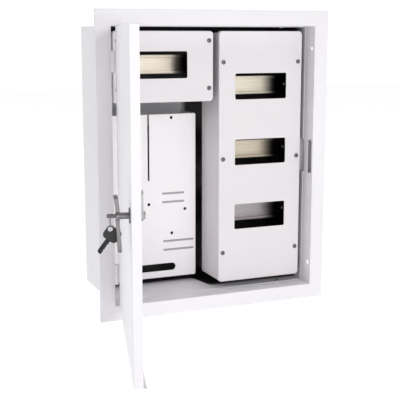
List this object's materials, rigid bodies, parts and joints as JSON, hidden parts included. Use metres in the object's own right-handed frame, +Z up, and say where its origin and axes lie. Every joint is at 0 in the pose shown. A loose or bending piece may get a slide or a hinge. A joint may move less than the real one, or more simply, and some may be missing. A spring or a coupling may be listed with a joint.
{
  "type": "electrical enclosure",
  "caption": "Recessed sheet-steel meter and distribution enclosure with a hinged lockable door, removable module covers and a meter mounting panel.",
  "frame": {"origin": "centre of the wall bolts' rectangle on the outer face of the back wall", "axes": "+X to the right seen from the front, +Y from the front into the wall, +Z up"},
  "size_m": [0.5645, 0.5927, 0.56],
  "materials": {
    "white_paint": "fine-textured powder coat",
    "zinc": "zinc plated",
    "rail_zinc": "yellow-passivated zinc",
    "lock_metal": "nickel plated",
    "key_metal": "dark nickel"
  },
  "bodies": {
    "enclosure": {"back_box": "white_paint", "front_frame": "white_paint", "strike_pocket": "white_paint", "frame_screws": "zinc", "frame_nuts": "zinc", "frame_hinges": "white_paint", "hinge_pins": "zinc", "upper_cover": "white_paint", "upper_cover_screws": "zinc", "right_cover": "white_paint", "right_cover_screws": "zinc", "right_bay_left_upright": "white_paint", "right_bay_right_upright": "white_paint", "upper_bay_left_upright": "white_paint", "upper_bay_right_upright": "white_paint", "upper_rail": "rail_zinc", "right_rail_top": "rail_zinc", "right_rail_middle": "rail_zinc", "right_rail_bottom": "rail_zinc", "rail_screws": "zinc", "meter_panel": "white_paint"},
    "door": {"door_leaf": "white_paint", "door_hinges": "white_paint", "lock_body": "lock_metal", "lock_nut": "zinc"},
    "lock": {"lock_plug": "lock_metal", "lock_lever": "lock_metal", "lock_cam": "zinc", "cam_screw": "zinc", "lock_key": "key_metal"},
    "key_ring_body": {"key_ring": "lock_metal"},
    "spare_key_body": {"spare_key": "key_metal"}
  },
  "joints": [
    {"name": "door_hinge", "type": "hinge", "parent": "enclosure", "child": "door", "pos_m": [-0.2003, -0.1996, 0], "axis": [0, 0, 1], "range_deg": [-15, 105]},
    {"name": "lock_turn", "type": "hinge", "parent": "door", "child": "lock", "pos_m": [-0.29338, -0.56475, -0.008], "axis": [0.9659, -0.2588, 0], "range_deg": [0, 90]},
    {"name": "ring_swing", "type": "hinge", "parent": "lock", "child": "key_ring_body", "pos_m": [-0.31704, -0.54853, -0.00615], "axis": [-0.2588, -0.9659, 0], "range_deg": [-8, 8]},
    {"name": "spare_key_swing", "type": "hinge", "parent": "key_ring_body", "child": "spare_key_body", "pos_m": [-0.31704, -0.54853, -0.02535], "axis": [-0.2588, -0.9659, 0], "range_deg": [-30, 30]}
  ]
}
